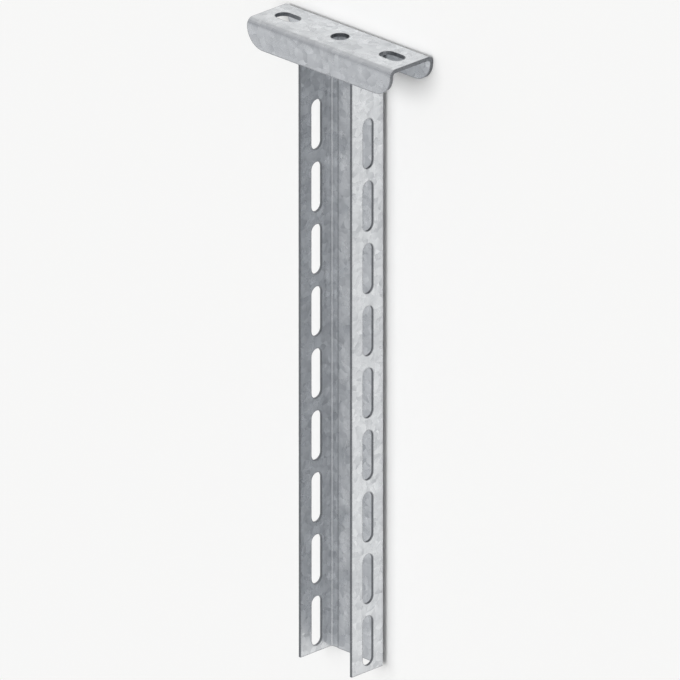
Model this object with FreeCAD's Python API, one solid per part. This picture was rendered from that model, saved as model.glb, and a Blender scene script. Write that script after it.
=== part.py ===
import FreeCAD, Part
import math
import os

# A ceiling hanger for cable trays: a slotted U post, welded under a short channel that bolts to a ceiling.
# It lies on its back with the open side of the post up, as it would on a level floor.
# X runs across it, Y along it from the free end to the ceiling end, and Z up from the floor.
# The origin is on the floor, midway along its length and its width.

# Driving dimensions in millimetres

# The post is one strip of sheet, rolled to a U
post_length = 500.0
post_width = 56.0
post_depth = 35.0
post_sheet = 2.0
post_inside_bend = 1.5

# A shallow band pressed along the web stiffens it
band_width = 38.0
band_rise = 0.5
band_flank = 0.5

# Slots are punched in both flanges, level with each other
slot_width = 11.0
slot_length = 40.0
slot_pitch = 50.0
slot_inset = 17.0
first_slot = 25.0
unpunched_top = 50.0

# The head is a channel of thicker sheet, with its two lips turned down the post
# The post stands against the inside of the back lip, and clear of the front lip
head_length = 150.0
head_height = 22.0
head_sheet = 3.0
head_inside_bend = 2.5
front_lip_clearance = 4.0

# Two slots and a round hole take the ceiling bolts
head_slot_width = 13.0
head_slot_length = 22.0
head_slot_from_end = 20.5
centre_hole_diameter = 14.0

# A fillet weld runs along the outside of each flange, under the head
weld_leg = 3.0
weld_crown = 0.4
weld_inset = 2.0

# How far a punch or a trimming outline reaches past the sheet that it cuts
cut_past = 1.0

# Places that follow from the sizes

total_length = post_length + head_sheet
ceiling_face = total_length / 2
plate_underside = ceiling_face - head_sheet
free_end = -total_length / 2

back_lip_inside = head_sheet
web_back = back_lip_inside
web_inside = web_back + post_sheet
flange_edge = web_back + post_depth
front_lip_inside = flange_edge + front_lip_clearance
head_depth = front_lip_inside + head_sheet
flange_outside = post_width / 2
flange_inside = flange_outside - post_sheet
slot_height = flange_edge - slot_inset

ALONG = FreeCAD.Vector(0, 1, 0)
ACROSS = FreeCAD.Vector(1, 0, 0)
UP = FreeCAD.Vector(0, 0, 1)


def point(x, y, z):
    return FreeCAD.Vector(x, y, z)


def line(start, end):
    return Part.LineSegment(start, end).toShape()


# Sheet metal

def bent_line(corners, bends):
    """An open wire through the corners. An inner corner is an arc of its bend radius, or a point at 0."""
    edges = []
    start = corners[0]
    for before, corner, after, radius in zip(corners, corners[1:], corners[2:], bends):
        if radius == 0:
            edges.append(line(start, corner))
            start = corner
            continue
        back = (before - corner).normalize()
        ahead = (after - corner).normalize()
        half_angle = back.getAngle(ahead) / 2
        reach = radius / math.tan(half_angle)
        arc_start = corner + back * reach
        arc_end = corner + ahead * reach
        arc_middle = corner + (back + ahead).normalize() * (radius / math.sin(half_angle) - radius)
        edges.append(line(start, arc_start))
        edges.append(Part.Arc(arc_start, arc_middle, arc_end).toShape())
        start = arc_end
    edges.append(line(start, corners[-1]))
    return Part.Wire(edges)


def bent_sheet(inside_corners, bends, sheet, run):
    """Sheet along the vector run, with the bent line on its inner side. The outer side is the longer one."""
    inner_face_line = bent_line(inside_corners, bends)
    mitred = 2
    one_side = inner_face_line.makeOffset2D(sheet, mitred, True, True, True)
    other_side = inner_face_line.makeOffset2D(-sheet, mitred, True, True, True)
    outer_side = max(one_side, other_side, key=lambda face: face.Area)
    return outer_side.extrude(run)


# Punches

def slot_punch(centre, length_axis, length, width, depth):
    """A round-ended bar, centred on the point, for a slot along length_axis and through the vector depth."""
    straight = length_axis * ((length - width) / 2)
    side = length_axis.cross(depth).normalize() * (width / 2)
    tip = length_axis * (length / 2)
    middle = centre - depth / 2
    corners = [
        middle - straight - side,
        middle + straight - side,
        middle + straight + side,
        middle - straight + side,
    ]
    outline = Part.Wire([
        line(corners[0], corners[1]),
        Part.Arc(corners[1], middle + tip, corners[2]).toShape(),
        line(corners[2], corners[3]),
        Part.Arc(corners[3], middle - tip, corners[0]).toShape(),
    ])
    return Part.Face(outline).extrude(depth)


# The post

def post_strip():
    """The rolled U with its pressed web, before punching. The section is drawn at the free end."""
    band_foot = band_width / 2 + band_flank
    band_top = band_width / 2
    band_height = web_inside + band_rise
    corners = [
        point(-flange_inside, free_end, flange_edge),
        point(-flange_inside, free_end, web_inside),
        point(-band_foot, free_end, web_inside),
        point(-band_top, free_end, band_height),
        point(band_top, free_end, band_height),
        point(band_foot, free_end, web_inside),
        point(flange_inside, free_end, web_inside),
        point(flange_inside, free_end, flange_edge),
    ]
    bends = [post_inside_bend, 0, 0, 0, 0, post_inside_bend]
    return bent_sheet(corners, bends, post_sheet, ALONG * post_length)


def flange_slot_places():
    """Distances from the free end to the middle of each slot."""
    punched_length = post_length - unpunched_top - first_slot - slot_length / 2
    count = int(punched_length // slot_pitch) + 1
    return [first_slot + slot_pitch * number for number in range(count)]


def head_bend_clearance():
    """The post's back corner is clipped, so that it sits square in the head past the inside of the bend."""
    corner = point(-post_width, plate_underside, web_back)
    down_the_lip = corner - ALONG * head_inside_bend
    off_the_lip = corner + UP * head_inside_bend
    clip = Part.makePolygon([corner, down_the_lip, off_the_lip, corner])
    return Part.Face(clip).extrude(ACROSS * (2 * post_width))


def slotted_post():
    post = post_strip()
    through_both = ACROSS * (post_width + 2 * cut_past)
    for distance in flange_slot_places():
        centre = point(0, free_end + distance, slot_height)
        post = post.cut(slot_punch(centre, ALONG, slot_length, slot_width, through_both))
    return post.cut(head_bend_clearance())


# The head

def lip_trim():
    """The head's outline from the open side: square at the ceiling, the lips rounded off at their ends."""
    half = head_length / 2
    lip_edge = ceiling_face - head_height
    round_radius = head_height - head_sheet - head_inside_bend
    below = -cut_past
    corners = [
        point(-half, ceiling_face, below),
        point(-half, lip_edge, below),
        point(half, lip_edge, below),
        point(half, ceiling_face, below),
    ]
    sides = bent_line(corners, [round_radius, round_radius])
    closing = line(corners[-1], corners[0])
    outline = Part.Wire(sides.Edges + [closing])
    return Part.Face(outline).extrude(UP * (head_depth + 2 * cut_past))


def head_channel():
    end = -head_length / 2
    lip_edge = ceiling_face - head_height
    corners = [
        point(end, lip_edge, back_lip_inside),
        point(end, plate_underside, back_lip_inside),
        point(end, plate_underside, front_lip_inside),
        point(end, lip_edge, front_lip_inside),
    ]
    bends = [head_inside_bend, head_inside_bend]
    head = bent_sheet(corners, bends, head_sheet, ACROSS * head_length)
    head = head.common(lip_trim())
    plate_middle = point(0, ceiling_face - head_sheet / 2, head_depth / 2)
    through_plate = ALONG * (head_sheet + 2 * cut_past)
    slot_from_middle = head_length / 2 - head_slot_from_end
    for side in (-1, 1):
        centre = plate_middle + ACROSS * (side * slot_from_middle)
        head = head.cut(slot_punch(centre, ACROSS, head_slot_length, head_slot_width, through_plate))
    drill_start = plate_middle - through_plate / 2
    drill = Part.makeCylinder(centre_hole_diameter / 2, through_plate.Length, drill_start, ALONG)
    return head.cut(drill)


# The welds

def fillet_weld(side):
    """A crowned bead in the corner between the head's plate and one flange. The side is -1 or 1."""
    outward = ACROSS * side
    bead_start = web_back + post_sheet + post_inside_bend + weld_inset
    bead_end = flange_edge - weld_inset
    root = point(side * flange_outside, plate_underside, bead_start)
    on_plate = root + outward * weld_leg
    on_flange = root - ALONG * weld_leg
    crown = (on_plate + on_flange) / 2 + (outward - ALONG).normalize() * weld_crown
    section = Part.Wire([
        line(on_flange, root),
        line(root, on_plate),
        Part.Arc(on_plate, crown, on_flange).toShape(),
    ])
    return Part.Face(section).extrude(UP * (bead_end - bead_start))


pieces = {
    "slotted_post": slotted_post(),
    "head_channel": head_channel(),
    "weld_left": fillet_weld(-1),
    "weld_right": fillet_weld(1),
}

os.makedirs("parts", exist_ok=True)
for name, shape in pieces.items():
    solid = shape.Solids[0]
    solid.exportStep(f"parts/{name}.step")
    box = solid.BoundBox
    size = f"{box.XLength:.2f} x {box.YLength:.2f} x {box.ZLength:.2f} mm"
    print(name, size, "and", f"{solid.Volume:.0f} cubic mm")
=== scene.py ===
# %% [markdown]
# # A cable tray ceiling hanger in galvanised steel
#
# The real object is a slotted U post, welded under a short channel that bolts to a ceiling. Both are bent
# from sheet and dipped in molten zinc. Their shapes arrive ready made in the frame, at their real size in
# metres, so this lesson adds what the frame leaves out: the rippled weld beads, the zinc finish, the
# light and the camera.

# %% Load the frame
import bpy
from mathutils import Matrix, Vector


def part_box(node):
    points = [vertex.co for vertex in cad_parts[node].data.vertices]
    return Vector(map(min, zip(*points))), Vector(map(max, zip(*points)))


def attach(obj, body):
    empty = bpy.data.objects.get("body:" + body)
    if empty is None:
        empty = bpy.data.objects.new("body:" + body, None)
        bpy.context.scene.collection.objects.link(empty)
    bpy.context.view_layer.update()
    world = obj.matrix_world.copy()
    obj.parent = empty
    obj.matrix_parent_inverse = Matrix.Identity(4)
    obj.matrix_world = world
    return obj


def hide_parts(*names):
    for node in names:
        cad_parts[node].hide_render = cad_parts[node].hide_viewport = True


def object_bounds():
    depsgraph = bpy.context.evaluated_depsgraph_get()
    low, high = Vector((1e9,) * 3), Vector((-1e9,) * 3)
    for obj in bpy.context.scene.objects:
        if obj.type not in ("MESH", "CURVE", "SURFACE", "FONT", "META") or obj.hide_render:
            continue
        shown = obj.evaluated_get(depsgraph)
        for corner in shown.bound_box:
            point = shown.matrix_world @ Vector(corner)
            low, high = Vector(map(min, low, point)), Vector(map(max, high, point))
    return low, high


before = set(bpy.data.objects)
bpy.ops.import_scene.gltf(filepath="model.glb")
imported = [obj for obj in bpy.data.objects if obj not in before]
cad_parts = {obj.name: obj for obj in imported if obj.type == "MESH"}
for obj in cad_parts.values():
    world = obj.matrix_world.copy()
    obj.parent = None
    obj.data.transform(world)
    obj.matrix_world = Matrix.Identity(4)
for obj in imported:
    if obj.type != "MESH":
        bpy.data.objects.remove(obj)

frame_low, frame_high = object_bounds()
print("frame from", tuple(frame_low), "to", tuple(frame_high))

# %% [markdown]
# ## Tools for the lesson
#
# Blender's own modules give the meshes (bmesh), the vectors and the materials. Sizes are written in
# millimetres, because that is how such a hanger is measured, and one factor turns them into Blender's
# metres.

# %% Modules and units
import math

import bmesh
import bpy
from mathutils import Matrix, Vector

MM = 0.001
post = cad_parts["slotted_post"]
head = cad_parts["head_channel"]
print("CAD nodes:", sorted(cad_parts))

# %% [markdown]
# ## The camera
#
# The picture is a drawing with parallel lines: nothing gets smaller with distance. A very long lens far
# away looks almost the same, and it still frames the hanger well when the camera is moved round it. The
# hanger lies on its back, so the camera looks down at the open side, and it is rolled so that the ceiling
# end is at the top.
#
# In the drawing the hanger is seen 45 degrees from the front and 22.5 degrees from above. Lying down, its
# old upward direction is +Y and its old front is +Z, and the same two angles give the line of sight. The
# picture is as wide as the hanger is long, and its centre lies a little towards the ceiling end.

# %% Camera
TURN_FROM_FRONT = math.radians(45.0)
TILT_FROM_ABOVE = math.radians(22.5)
PICTURE_WIDTH = 505.4 * MM
PICTURE_CENTRE = 8.4 * MM
LENS = 1500.0
SENSOR = 36.0
CLIP_REACH = 3.0

axis_height = (frame_low.z + frame_high.z) / 2
sight = Vector((
    -math.sin(TURN_FROM_FRONT) * math.cos(TILT_FROM_ABOVE),
    -math.sin(TILT_FROM_ABOVE),
    -math.cos(TURN_FROM_FRONT) * math.cos(TILT_FROM_ABOVE),
))
picture_right = Vector((math.cos(TURN_FROM_FRONT), 0.0, -math.sin(TURN_FROM_FRONT)))
picture_up = picture_right.cross(sight)
aim = Vector((0.0, PICTURE_CENTRE, axis_height))
distance = PICTURE_WIDTH * LENS / SENSOR

camera_data = bpy.data.cameras.new("drawing_view")
camera_data.lens = LENS
camera_data.sensor_width = SENSOR
camera_data.clip_end = CLIP_REACH * distance
camera = bpy.data.objects.new("drawing_view", camera_data)
bpy.context.scene.collection.objects.link(camera)
turned = Matrix((picture_right, picture_up, -sight)).transposed().to_4x4()
camera.matrix_world = Matrix.Translation(aim - sight * distance) @ turned
bpy.context.scene.camera = camera
print("camera", round(distance, 2), "m away, looking along", tuple(round(part, 4) for part in sight))

# %% [markdown]
# ## Node helpers
#
# A material in Blender is a graph of nodes. Building it in code takes three moves again and again: add a
# node, set its options, and feed its inputs with either a plain value or another node's output. One
# helper does all three, and the others name the nodes that this lesson uses most. A Mix node has sockets
# of one name for each kind of data, so its colour sockets are called by their numbers.

# %% Node helpers
NOISE_LOW = 0.3
NOISE_HIGH = 0.7
MIX_SHARE = 0
FIRST_COLOUR = 6
SECOND_COLOUR = 7
MIXED_COLOUR = 2


def add_node(tree, kind, inputs=None, **options):
    node = tree.nodes.new(kind)
    for name, value in options.items():
        setattr(node, name, value)
    for name, value in (inputs or {}).items():
        if isinstance(value, bpy.types.NodeSocket):
            tree.links.new(value, node.inputs[name])
        else:
            node.inputs[name].default_value = value
    return node


def math_node(tree, operation, first, second=0.0, third=0.0):
    return add_node(tree, "ShaderNodeMath", {0: first, 1: second, 2: third}, operation=operation).outputs[0]


def vector_node(tree, operation, first, second=(0.0, 0.0, 0.0)):
    return add_node(tree, "ShaderNodeVectorMath", {0: first, 1: second}, operation=operation).outputs[0]


def dot_product(tree, first, second):
    node = add_node(tree, "ShaderNodeVectorMath", {0: first, 1: second}, operation="DOT_PRODUCT")
    return node.outputs["Value"]


def remap(tree, value, low, high, new_low, new_high):
    inputs = {"Value": value, "From Min": low, "From Max": high, "To Min": new_low, "To Max": new_high}
    return add_node(tree, "ShaderNodeMapRange", inputs).outputs[0]


def smooth_step(tree, value, low, high):
    inputs = {"Value": value, "From Min": low, "From Max": high}
    return add_node(tree, "ShaderNodeMapRange", inputs, interpolation_type="SMOOTHSTEP").outputs[0]


def noise(tree, place, size, detail):
    """A noise with lumps of this size along X, Y and Z. Few of its values pass NOISE_LOW or NOISE_HIGH."""
    scaled = vector_node(tree, "DIVIDE", place, size)
    return add_node(tree, "ShaderNodeTexNoise", {"Vector": scaled, "Scale": 1.0, "Detail": detail}).outputs


def from_noise(tree, value, new_low, new_high):
    return remap(tree, value, NOISE_LOW, NOISE_HIGH, new_low, new_high)


def mix_colour(tree, share, first, second):
    inputs = {MIX_SHARE: share, FIRST_COLOUR: first, SECOND_COLOUR: second}
    return add_node(tree, "ShaderNodeMix", inputs, data_type="RGBA").outputs[MIXED_COLOUR]


def new_material(name):
    material = bpy.data.materials.new(name)
    material.use_nodes = True
    material.node_tree.nodes.clear()
    return material, material.node_tree


print("helpers ready")

# %% [markdown]
# ## Zinc crystals
#
# Hot-dip galvanised steel freezes into crystals a few millimetres across, the spangle. Each crystal
# reflects a little differently, because it faces a little differently, and fine feathers of zinc run
# through it.
#
# A Voronoi texture makes the crystals, on coordinates that two noises have bent, so that their borders
# are ragged. Every cell has its own random colour, and that one colour decides how bright, how smooth and
# how tilted the crystal is, and which way its feathers run. The tilt goes into the surface's normal, so
# light and not paint makes much of the pattern.

# %% Crystals
FEATHER_SIZE = (0.35 * MM, 3.5 * MM, 3.5 * MM)
FEATHER_DETAIL = 2.0
BORDER_BENDS = ((6.0, 2.4), (1.0, 0.6))
BORDER_DETAIL = 3.0
MIDDLE_COLOUR = (0.5, 0.5, 0.5)


def crystal_pattern(tree, place, crystal):
    """Each crystal's own shade, polish and lean, the tone that runs across it, and its feathers."""
    bent_place = place
    for width, reach in BORDER_BENDS:
        bend = noise(tree, place, (width * crystal,) * 3, BORDER_DETAIL)["Color"]
        bend = vector_node(tree, "SUBTRACT", bend, MIDDLE_COLOUR)
        bend = vector_node(tree, "MULTIPLY", bend, (reach * crystal,) * 3)
        bent_place = vector_node(tree, "ADD", bent_place, bend)
    crystals = add_node(tree, "ShaderNodeTexVoronoi", {"Vector": bent_place, "Scale": 1 / crystal}).outputs
    lean = vector_node(tree, "SUBTRACT", crystals["Color"], MIDDLE_COLOUR)
    from_centre = vector_node(tree, "SUBTRACT", bent_place, crystals["Position"])

    turn = vector_node(tree, "MULTIPLY", crystals["Color"], (math.tau,) * 3)
    turned_place = {"Vector": place, "Rotation": turn}
    turned = add_node(tree, "ShaderNodeVectorRotate", turned_place, rotation_type="EULER_XYZ").outputs[0]
    own = add_node(tree, "ShaderNodeSeparateColor", {"Color": crystals["Color"]}).outputs
    return {
        "shade": own["Red"],
        "polish": own["Green"],
        "lean": lean,
        "across": math_node(tree, "DIVIDE", dot_product(tree, from_centre, lean), crystal),
        "feather": noise(tree, turned, FEATHER_SIZE, FEATHER_DETAIL)["Fac"],
    }


print("feathers", [round(size / MM, 2) for size in FEATHER_SIZE], "mm")

# %% [markdown]
# ## Clouds, rolling lines and corners
#
# Three more patterns lie over the crystals. Cloudy patches show where the coat is thicker. Faint lines
# from the rolling mill run along the sheet, made by a noise that is stretched that way. Ambient Occlusion
# tells how open the air round a point is, which finds the inner corners. There the colour is darkened
# towards dull zinc, a painted shade, and the surface is made rougher.

# %% Coat patterns
CLOUD_SIZE = (40 * MM, 40 * MM, 40 * MM)
CLOUD_DETAIL = 5.0
LINE_DETAIL = 2.0
CORNER_REACH = 2.5 * MM
CORNER_SAMPLES = 4
CORNER_AIR = 0.55
FREE_AIR = 0.96


def coat_pattern(tree, place, crystal, rolled):
    """Every pattern of the coat by name. Rolled is the size of the rolling lines along X, Y and Z."""
    pattern = crystal_pattern(tree, place, crystal)
    pattern["clouds"] = noise(tree, place, CLOUD_SIZE, CLOUD_DETAIL)["Fac"]
    pattern["lines"] = noise(tree, place, rolled, LINE_DETAIL)["Fac"]
    reach = {"Distance": CORNER_REACH}
    air = add_node(tree, "ShaderNodeAmbientOcclusion", reach, samples=CORNER_SAMPLES).outputs["AO"]
    pattern["open air"] = remap(tree, air, CORNER_AIR, FREE_AIR, 0.0, 1.0)
    return pattern


print("clouds", round(CLOUD_SIZE[0] / MM), "mm across")

# %% [markdown]
# ## Questions that a shader can ask
#
# The CAD mesh has one slot for all its faces, so cut faces, creases and bends can't have materials of their
# own. Instead the shader asks where each point lies and which way its face looks. Each answer is 1 for yes
# or 0 for no, so multiplying two answers asks for both, and the larger of two asks for either.
#
# Geometry has two normals. The true one belongs to the flat face, and the other turns smoothly from face
# to face.

# %% Questions
FACING_LIMIT = 0.5


def above(tree, value, level):
    return math_node(tree, "GREATER_THAN", value, level)


def below(tree, value, level):
    return math_node(tree, "LESS_THAN", value, level)


def both(tree, first, second):
    return math_node(tree, "MULTIPLY", first, second)


def either(tree, first, second):
    return math_node(tree, "MAXIMUM", first, second)


def facing(tree, kind):
    """How far the normal of this kind reaches along X, Y and Z, without its sign."""
    normal = add_node(tree, "ShaderNodeNewGeometry").outputs[kind]
    return add_node(tree, "ShaderNodeSeparateXYZ", {"Vector": vector_node(tree, "ABSOLUTE", normal)}).outputs


print("a face looks along an axis where its normal reaches over", FACING_LIMIT)

# %% [markdown]
# ## Cut faces
#
# Where the sheet was sheared or punched, its edge is rougher than its rolled faces, and the zinc on it is
# thinner and duller. The rims of the slots and the ends of the flanges are painted darker than the faces
# beside them, partly for that duller zinc and partly as painted shade in the walls of the slots.
#
# A cut face is one whose normal has no part along the sheet's thickness. Thickness runs along X in the
# post's flanges and along Z in its web. In the head it runs along Y in the plate and along Z in the lips.
# The object's own coordinates tell which part of the sheet a point is in.

# %% Cut faces
POST_SHEET = 2.0 * MM
POST_INSIDE_BEND = 1.5 * MM
HEAD_SHEET = 3.0 * MM
HEAD_INSIDE_BEND = 2.5 * MM

flange_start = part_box("slotted_post")[0].z + POST_SHEET + POST_INSIDE_BEND
head_low, head_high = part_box("head_channel")
head_bend = HEAD_SHEET + HEAD_INSIDE_BEND


def post_cut_faces(tree, at):
    normal = facing(tree, "True Normal")
    in_flange = above(tree, at["Z"], flange_start)
    rim = both(tree, in_flange, below(tree, normal["X"], FACING_LIMIT))
    end = above(tree, normal["Y"], FACING_LIMIT)
    return either(tree, rim, both(tree, end, below(tree, at["Z"], flange_start)))


def head_cut_faces(tree, at):
    normal = facing(tree, "True Normal")
    past_back_bend = above(tree, at["Z"], head_low.z + head_bend)
    before_front_bend = below(tree, at["Z"], head_high.z - head_bend)
    in_plate = both(tree, past_back_bend, before_front_bend)
    in_lips = below(tree, at["Y"], head_high.y - head_bend)
    rim = both(tree, in_plate, below(tree, normal["Y"], FACING_LIMIT))
    lip_edge = both(tree, in_lips, below(tree, normal["Z"], FACING_LIMIT))
    return either(tree, above(tree, normal["X"], FACING_LIMIT), either(tree, rim, lip_edge))


print("flanges start", round(flange_start / MM, 2), "mm above the floor")

# %% [markdown]
# ## Creases of the pressed band
#
# A shallow band is pressed along the web of the post to stiffen it. A thin grey line is painted along
# each of its two edges, a painted shade for the crease. Its distance from the post's middle is known, and
# a shade that fades out on either side of that distance draws it.

# %% Creases
BAND_EDGE = 19.25 * MM
CREASE_WIDTH = 1.1 * MM


# Painted shade: a thin darker line along each edge of the pressed band.
def post_crease_shade(tree, at):
    off_middle = math_node(tree, "ABSOLUTE", at["X"])
    from_edge = math_node(tree, "ABSOLUTE", math_node(tree, "SUBTRACT", off_middle, BAND_EDGE))
    crease = remap(tree, from_edge, 0.0, CREASE_WIDTH, 1.0, 0.0)
    return both(tree, crease, below(tree, at["Z"], flange_start))


print("creases", round(BAND_EDGE / MM, 2), "mm either side of the middle")

# %% [markdown]
# ## Bends of the head
#
# The head's bends are painted a darker grey than the flat, a painted shade in each bend, inside and
# outside. A band at a measured place could draw that, as it does the creases, but here the surface tells
# more simply: the head bends from Y to Z, so in a bend the normal leans along both of those axes. The
# smooth normal turns little by little through the bend, which makes the change a soft one.

# %% Bends
BEND_START = 0.10
BEND_FULL = 0.45
BEND_SHARE = 0.80


# Painted shade in the bends of the head.
def head_bend_shade(tree, at):
    """Painted shade, from 0 on the flat to BEND_SHARE in a bend. It takes at only so that it is called like
    the post's crease shade.
    """
    normal = facing(tree, "Normal")
    least = math_node(tree, "MINIMUM", normal["Y"], normal["Z"])
    return both(tree, smooth_step(tree, least, BEND_START, BEND_FULL), BEND_SHARE)


print("a bend is at its greyest from", round(math.degrees(math.asin(BEND_FULL))), "degrees off the flat")

# %% [markdown]
# ## Worn edges
#
# Molten zinc runs thin over a sharp edge, and handling rubs it there, so a narrow grey line follows each
# cut edge of the sheet. Painting these lines would take a map of every slot. A Bevel node finds them
# without one: it gives the normal that a rounded edge would have, and near an edge that normal leans away
# from the face's own. How alike the two are tells how near the edge is.

# %% Edges
EDGE_WIDTH = 1.3 * MM
EDGE_START = 0.999
EDGE_FULL = 0.96
ROUNDING_SAMPLES = 6


def rounded_normal(tree, radius):
    return add_node(tree, "ShaderNodeBevel", {"Radius": radius}, samples=ROUNDING_SAMPLES).outputs[0]


def near_edges(tree):
    own = add_node(tree, "ShaderNodeNewGeometry").outputs["Normal"]
    alike = dot_product(tree, rounded_normal(tree, EDGE_WIDTH), own)
    return smooth_step(tree, alike, EDGE_START, EDGE_FULL)


print("worn edges up to", round(EDGE_WIDTH / MM, 2), "mm wide")

# %% [markdown]
# ## The finish
#
# The patterns now come together in one metallic shader. Its colour goes from dull to bright zinc as the
# patterns add up, and towards dull zinc in inner corners as a painted shade. Its roughness changes a little
# from crystal to crystal, and its normal carries the relief. A Bevel node rounds the normals at the sheet's
# edges, as the zinc does there.
#
# Each of the three is a function of its own, so that it can be read and changed by itself.

# %% Colour, roughness and relief of the coat
ZINC_DULL_AND_CORNER_SHADE = (0.50, 0.515, 0.535, 1.0)
ZINC_BRIGHT = (0.84, 0.855, 0.87, 1.0)
TONE_WEIGHTS = {"shade": 0.45, "across": 0.55, "feather": 0.35, "clouds": 0.60, "lines": 0.15}
TONE_LOW = 0.22
TONE_HIGH = 1.30
CRYSTAL_ROUGHNESS = 0.08
CLOUD_ROUGHNESS = 0.06
LINE_ROUGHNESS = 0.04
CORNER_ROUGHNESS = 0.15
COAT_ROUNDING = 0.4 * MM
CRYSTAL_TILT = 0.09
CLOUD_RELIEF = 0.8 * MM
FINE_RELIEF = 0.03 * MM
FINE_STRENGTH = 0.3


def coat_colour(tree, pattern):
    tone = 0.0
    for name, weight in TONE_WEIGHTS.items():
        tone = math_node(tree, "MULTIPLY_ADD", pattern[name], weight, tone)
    tone = remap(tree, tone, TONE_LOW, TONE_HIGH, 0.0, 1.0)
    # Painted shade: where the open air is low, in inner corners, the colour goes towards the dull zinc.
    return mix_colour(tree, both(tree, tone, pattern["open air"]), ZINC_DULL_AND_CORNER_SHADE, ZINC_BRIGHT)


def coat_roughness(tree, pattern, roughness):
    low = roughness - CRYSTAL_ROUGHNESS
    high = roughness + CRYSTAL_ROUGHNESS
    rough = remap(tree, pattern["polish"], 0.0, 1.0, low, high)
    cloudy = from_noise(tree, pattern["clouds"], CLOUD_ROUGHNESS, -CLOUD_ROUGHNESS)
    lined = from_noise(tree, pattern["lines"], -LINE_ROUGHNESS, LINE_ROUGHNESS)
    in_corner = remap(tree, pattern["open air"], 0.0, 1.0, CORNER_ROUGHNESS, 0.0)
    for change in (cloudy, lined, in_corner):
        rough = math_node(tree, "ADD", rough, change)
    return rough


def coat_relief(tree, pattern, fine_height):
    tilt = vector_node(tree, "MULTIPLY", pattern["lean"], (CRYSTAL_TILT,) * 3)
    leaning = vector_node(tree, "ADD", rounded_normal(tree, COAT_ROUNDING), tilt)
    tilted = vector_node(tree, "NORMALIZE", leaning)
    clouds = {"Height": pattern["clouds"], "Distance": CLOUD_RELIEF, "Normal": tilted}
    wavy = add_node(tree, "ShaderNodeBump", clouds).outputs[0]
    fine = {"Height": fine_height, "Strength": FINE_STRENGTH, "Distance": FINE_RELIEF, "Normal": wavy}
    return add_node(tree, "ShaderNodeBump", fine).outputs[0]


print("zinc from", ZINC_DULL_AND_CORNER_SHADE[:3], "to", ZINC_BRIGHT[:3])

# %% [markdown]
# ## One recipe for three coats
#
# The post, the head and the welds share the recipe with their own crystal size, rolling direction and
# roughness. The two bent sheets also have cut faces with worn edges. The shear and the punch leave short
# marks through the sheet there, so the cut zinc is rougher and streaked. It is painted darker too, partly
# for the duller zinc and partly as painted shade in the walls of the slots. Each sheet also gets painted
# shade, the post along its creases and the head in its bends. Wear and painted shade come and go along the
# sheet with the clouds, because no real line on it is even.

# %% Zinc finish
ZINC_PAINTED_SHADE = (0.39, 0.40, 0.42, 1.0)
SHADE_FAINTEST = 0.5
ZINC_WORN = (0.27, 0.278, 0.29, 1.0)
WORN_FAINTEST = 0.6
ZINC_CUT_SHADED_DARK = (0.14, 0.147, 0.158, 1.0)
ZINC_CUT_SHADED_LIGHT = (0.26, 0.27, 0.285, 1.0)
CUT_ROUGHNESS = 0.12
POST_CUT_MARKS = (1.5 * MM, 0.35 * MM, 0.8 * MM)
HEAD_CUT_MARKS = (0.35 * MM, 1.5 * MM, 1.2 * MM)
CUT_MARK_DETAIL = 2.0
CUT_MARK_HEIGHT = 3.0


def zinc_finish(name, crystal, rolled, shift, roughness, cut_faces=None, cut_marks=None, painted_shade=None):
    """Galvanised steel with crystals of this size. Shift moves the pattern, so that no pieces share it."""
    material, tree = new_material(name)
    coordinates = add_node(tree, "ShaderNodeTexCoord").outputs["Object"]
    at = add_node(tree, "ShaderNodeSeparateXYZ", {"Vector": coordinates}).outputs
    place = add_node(tree, "ShaderNodeMapping", {"Vector": coordinates, "Location": shift}).outputs[0]
    pattern = coat_pattern(tree, place, crystal, rolled)
    colour = coat_colour(tree, pattern)
    rough = coat_roughness(tree, pattern, roughness)
    height = math_node(tree, "ADD", pattern["feather"], pattern["lines"])
    if painted_shade:
        # Painted shade: the post's creases and the head's bends are mixed towards a darker grey.
        shade_share = both(tree, painted_shade(tree, at), from_noise(tree, pattern["clouds"], SHADE_FAINTEST, 1.0))
        colour = mix_colour(tree, shade_share, colour, ZINC_PAINTED_SHADE)
    if cut_faces:
        worn = both(tree, near_edges(tree), from_noise(tree, pattern["clouds"], WORN_FAINTEST, 1.0))
        colour = mix_colour(tree, worn, colour, ZINC_WORN)
        cut = cut_faces(tree, at)
        marks = noise(tree, place, cut_marks, CUT_MARK_DETAIL)["Fac"]
        # The cut faces are painted dark: partly duller cut zinc, partly painted shade in the slot walls.
        cut_streaks_and_shade = mix_colour(tree, from_noise(tree, marks, 0.0, 1.0), ZINC_CUT_SHADED_DARK, ZINC_CUT_SHADED_LIGHT)
        colour = mix_colour(tree, cut, colour, cut_streaks_and_shade)
        rough = math_node(tree, "MULTIPLY_ADD", cut, CUT_ROUGHNESS, rough)
        mark_height = math_node(tree, "MULTIPLY", marks, CUT_MARK_HEIGHT)
        height = math_node(tree, "MULTIPLY_ADD", cut, mark_height, height)
    shader = add_node(tree, "ShaderNodeBsdfPrincipled", {
        "Base Color": colour,
        "Metallic": 1.0,
        "Roughness": rough,
        "Normal": coat_relief(tree, pattern, height),
    })
    add_node(tree, "ShaderNodeOutputMaterial", {"Surface": shader.outputs[0]})
    return material


print("cut marks", [round(size / MM, 2) for size in POST_CUT_MARKS], "mm in the post")

# %% [markdown]
# ## Zinc on the sheets and the welds
#
# The post was rolled along its length and the head along its own, so their lines run along Y and along X.
# The head's thicker sheet stays hot for longer after the bath, which grows slightly larger crystals. A weld
# was never rolled, and its crystals are small and its surface rough. The CAD nodes get their coats here,
# and the welds theirs when their beads are made.

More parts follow.
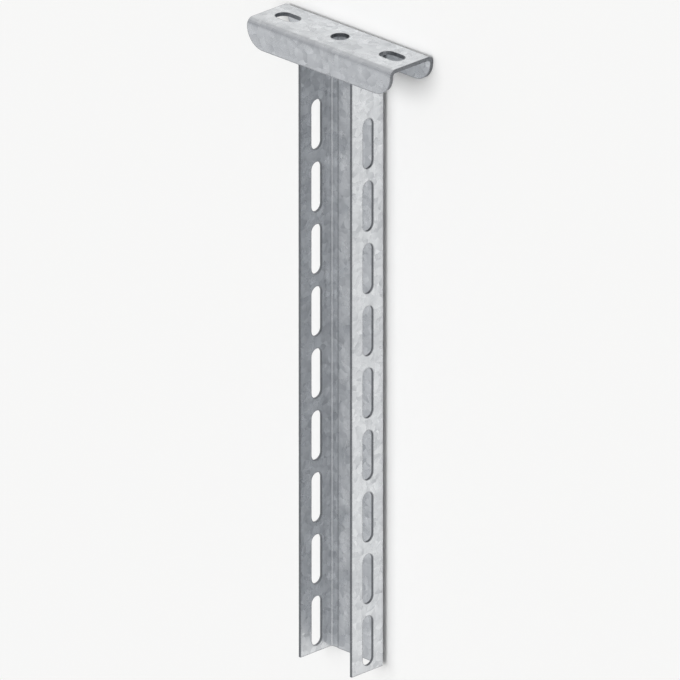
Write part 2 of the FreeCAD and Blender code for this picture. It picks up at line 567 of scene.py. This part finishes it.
# %% Three coats
post_zinc = zinc_finish(
    "post_zinc",
    crystal=5 * MM,
    rolled=(0.5 * MM, 80 * MM, 0.5 * MM),
    shift=(0.0, 0.0, 0.0),
    roughness=0.32,
    cut_faces=post_cut_faces,
    cut_marks=POST_CUT_MARKS,
    painted_shade=post_crease_shade,
)
head_zinc = zinc_finish(
    "head_zinc",
    crystal=6 * MM,
    rolled=(60 * MM, 0.6 * MM, 0.6 * MM),
    shift=(0.31, 0.17, 0.23),
    roughness=0.30,
    cut_faces=head_cut_faces,
    cut_marks=HEAD_CUT_MARKS,
    painted_shade=head_bend_shade,
)
weld_zinc = zinc_finish(
    "weld_zinc",
    crystal=3 * MM,
    rolled=(2 * MM, 2 * MM, 2 * MM),
    shift=(0.11, 0.43, 0.05),
    roughness=0.44,
)
post.data.materials.clear()
post.data.materials.append(post_zinc)
head.data.materials.clear()
head.data.materials.append(head_zinc)
print("zinc on", post.name, "and", head.name)

# %% [markdown]
# ## The ripples of a weld
#
# A weld is laid as a row of small puddles, each frozen over the edge of the last, so its face has crescent
# ripples, it swells a little here and there, and its ends taper off. A bump texture would only shade those
# ripples, and at this size they show in the outline too, so they are made as real shape. This step says
# how large the bead is at each place along it.

# %% Ripples
RIPPLE = 1.2 * MM
RIPPLE_DEPTH = 0.045
SWELL = 9.0 * MM
SWELL_DEPTH = 0.03
TAPER = 3.0 * MM
TAPERED_SHARE = 0.35


def taper_at(travelled, length):
    """0 at either end of the bead and 1 from the taper's length onward."""
    return min(travelled, length - travelled, TAPER) / TAPER


def ring_size(travelled, length):
    """The size of the bead's section this far along it, as a share of the full section."""
    through_ripple = (travelled / RIPPLE) % 1
    ripple = RIPPLE_DEPTH * through_ripple ** 2
    swell = SWELL_DEPTH * (1 + math.sin(math.tau * travelled / SWELL)) / 2
    round_end = math.sqrt(1 - (1 - taper_at(travelled, length)) ** 2)
    return (1 - ripple - swell) * (TAPERED_SHARE + (1 - TAPERED_SHARE) * round_end)


print("ripples every", round(RIPPLE / MM, 2), "mm")

# %% [markdown]
# ## The section of a weld
#
# Cut across, a fillet weld is nearly a triangle: a corner between plate and flange, two legs and a face
# that bulges a little. Spin sweeps one vertex round the arc's centre from the end of one leg to the end of
# the other, and the corner closes the arc to a face.

# %% Section
WELD_CROWN = 0.4 * MM
CROWN_STEPS = 12


def weld_section(bead, root, on_plate, on_flange):
    """The face between the corner and a crowned arc. The arc's centre is behind the chord of the legs."""
    half_chord = (on_flange - on_plate).length / 2
    outward = (on_plate + on_flange).normalized()
    radius = (half_chord ** 2 + WELD_CROWN ** 2) / (2 * WELD_CROWN)
    centre = root + (on_plate + on_flange) / 2 - outward * (radius - WELD_CROWN)
    axis = on_plate.cross(on_flange).normalized()
    first = bead.verts.new(root + on_plate)
    start = first.co.copy()
    arc_angle = 2 * math.asin(half_chord / radius)
    bmesh.ops.spin(bead, geom=[first], cent=centre, axis=axis, angle=arc_angle, steps=CROWN_STEPS)
    arc = sorted(bead.verts, key=lambda vert: (vert.co - start).length)
    return bead.faces.new([bead.verts.new(root)] + arc)


print("arc of", CROWN_STEPS, "steps, crowned", round(WELD_CROWN / MM, 2), "mm")

# %% [markdown]
# ## From section to bead
#
# bmesh extrudes the section again and again, and every new ring is scaled about the corner to its own size.
# The middle of the face is then pushed back along the bead, which bends each ripple to a crescent. The
# finished beads stand in for the two plain ones of the frame.

# %% Weld beads
RINGS_PER_RIPPLE = 8
CRESCENT = 0.9 * MM


def weld_bead(name, node, side):
    """A rippled bead in the place of the CAD node. The side is -1 or 1, the flange that it runs along."""
    low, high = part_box(node)
    leg = high.x - low.x
    length = high.z - low.z
    root = Vector((low.x if side > 0 else high.x, high.y, low.z))
    bead = bmesh.new()
    end_face = weld_section(bead, root, Vector((side * leg, 0, 0)), Vector((0, -leg, 0)))

    rings = round(length / RIPPLE) * RINGS_PER_RIPPLE
    step = length / rings
    size = 1.0
    to_root = Matrix.Translation(-root)
    for ring in range(rings + 1):
        if ring > 0:
            made = bmesh.ops.extrude_face_region(bead, geom=[end_face])["geom"]
            end_face = next(item for item in made if isinstance(item, bmesh.types.BMFace))
            bmesh.ops.translate(bead, vec=(0, 0, step), verts=end_face.verts)
        new_size = ring_size(ring * step, length)
        growth = new_size / size
        bmesh.ops.scale(bead, vec=(growth, growth, 1), space=to_root, verts=end_face.verts)
        size = new_size

    for vert in bead.verts:
        away = vert.co - root
        round_the_face = math.atan2(abs(away.y), abs(away.x))
        travelled = min(max(away.z, 0.0), length)
        vert.co.z -= CRESCENT * math.sin(2 * round_the_face) * taper_at(travelled, length)
    bmesh.ops.recalc_face_normals(bead, faces=bead.faces)
    for face in bead.faces:
        face.smooth = True
    mesh = bpy.data.meshes.new(name)
    bead.to_mesh(mesh)
    bead.free()
    mesh.materials.append(weld_zinc)
    piece = bpy.data.objects.new(name, mesh)
    bpy.context.scene.collection.objects.link(piece)
    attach(piece, "root")
    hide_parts(node)
    box_size = [round(edge / MM, 2) for edge in piece.dimensions]
    print(name, len(mesh.vertices), "vertices, box", box_size, "mm")


weld_bead("weld_bead_left", "weld_left", -1)
weld_bead("weld_bead_right", "weld_right", 1)

# %% [markdown]
# ## Floor
#
# The hanger lies on a wide pale floor, as for a product photograph. The floor is so wide that its edge is
# never seen, and quite matt, so that it shows the hanger's soft shadow and no reflection.

# %% Floor
FLOOR_SIDE = 60.0
FLOOR_COLOUR = (0.93, 0.93, 0.925, 1.0)
FLOOR_ROUGHNESS = 0.9

floor_sheet = bmesh.new()
bmesh.ops.create_grid(floor_sheet, x_segments=1, y_segments=1, size=FLOOR_SIDE / 2)
floor_mesh = bpy.data.meshes.new("floor")
floor_sheet.to_mesh(floor_mesh)
floor_sheet.free()
floor = bpy.data.objects.new("floor", floor_mesh)
bpy.context.scene.collection.objects.link(floor)

floor_paint, floor_tree = new_material("floor_paint")
floor_shader = add_node(floor_tree, "ShaderNodeBsdfPrincipled", {
    "Base Color": FLOOR_COLOUR,
    "Roughness": FLOOR_ROUGHNESS,
    "Specular IOR Level": 0.0,
})
add_node(floor_tree, "ShaderNodeOutputMaterial", {"Surface": floor_shader.outputs[0]})
floor_mesh.materials.append(floor_paint)
print("floor", FLOOR_SIDE, "m square")

# %% [markdown]
# ## The sun
#
# One large soft sun and an even sky light the floor. Together they reach the level at which a colour
# renders as it is written, so the floor comes out near white and still shows the shadow. The image of the
# sun would burn out to white in every bend of the metal, so the sun is hidden from glossy rays.

# %% Sun
SUN_FROM = Vector((0.10, 0.22, 0.97))
SUN_STRENGTH = 2.05
SUN_ANGLE = math.radians(40.0)

sun_data = bpy.data.lights.new("soft_sun", "SUN")
sun_data.energy = SUN_STRENGTH
sun_data.angle = SUN_ANGLE
sun = bpy.data.objects.new("soft_sun", sun_data)
sun.rotation_mode = "QUATERNION"
sun.rotation_quaternion = SUN_FROM.to_track_quat("Z", "Y")
sun.visible_glossy = False
bpy.context.scene.collection.objects.link(sun)
print("sun", SUN_STRENGTH, "strong and", round(math.degrees(SUN_ANGLE)), "degrees wide")

# %% [markdown]
# ## The sky
#
# Metal shows what is around it, so the sky needs a picture as well as light. Diffuse rays meet an even
# white. Camera, glossy and transmission rays meet a sky that is white low down and greyer overhead, as in a
# studio with white walls, and that difference separates one face of the hanger from the next. A white panel
# with soft edges takes the sun's place in the sky that they see, and nothing there is stronger than 1.

# %% Sky
SKY_LIGHT = 0.37
SKY_SEEN = 1.0
WHITE = (1.0, 1.0, 1.0, 1.0)
OVERHEAD_GREY = (0.62, 0.63, 0.65, 1.0)
SKY_TOP = 0.9
PANEL_EDGE = 0.75
PANEL_MIDDLE = 0.95

world = bpy.data.worlds.new("studio")
world.use_nodes = True
bpy.context.scene.world = world
sky_tree = world.node_tree
sky_tree.nodes.clear()
direction = add_node(sky_tree, "ShaderNodeTexCoord").outputs["Generated"]
height = add_node(sky_tree, "ShaderNodeSeparateXYZ", {"Vector": direction}).outputs["Z"]
overhead = smooth_step(sky_tree, height, 0.0, SKY_TOP)
sky_colour = mix_colour(sky_tree, overhead, WHITE, OVERHEAD_GREY)
near_sun = dot_product(sky_tree, direction, SUN_FROM.normalized())
panel = smooth_step(sky_tree, near_sun, PANEL_EDGE, PANEL_MIDDLE)
seen_colour = mix_colour(sky_tree, panel, sky_colour, WHITE)
seen_sky = add_node(sky_tree, "ShaderNodeBackground", {"Color": seen_colour, "Strength": SKY_SEEN})
lighting_sky = add_node(sky_tree, "ShaderNodeBackground", {"Color": WHITE, "Strength": SKY_LIGHT})
rays = add_node(sky_tree, "ShaderNodeLightPath").outputs
seen = either(sky_tree, rays["Is Camera Ray"], rays["Is Glossy Ray"])
seen = either(sky_tree, seen, rays["Is Transmission Ray"])
skies = {0: seen, 1: lighting_sky.outputs[0], 2: seen_sky.outputs[0]}
sky = add_node(sky_tree, "ShaderNodeMixShader", skies)
add_node(sky_tree, "ShaderNodeOutputWorld", {"Surface": sky.outputs[0]})
bpy.context.scene.view_settings.view_transform = "Standard"
print("sky", SKY_LIGHT, "strong for light and", SKY_SEEN, "where it is seen")
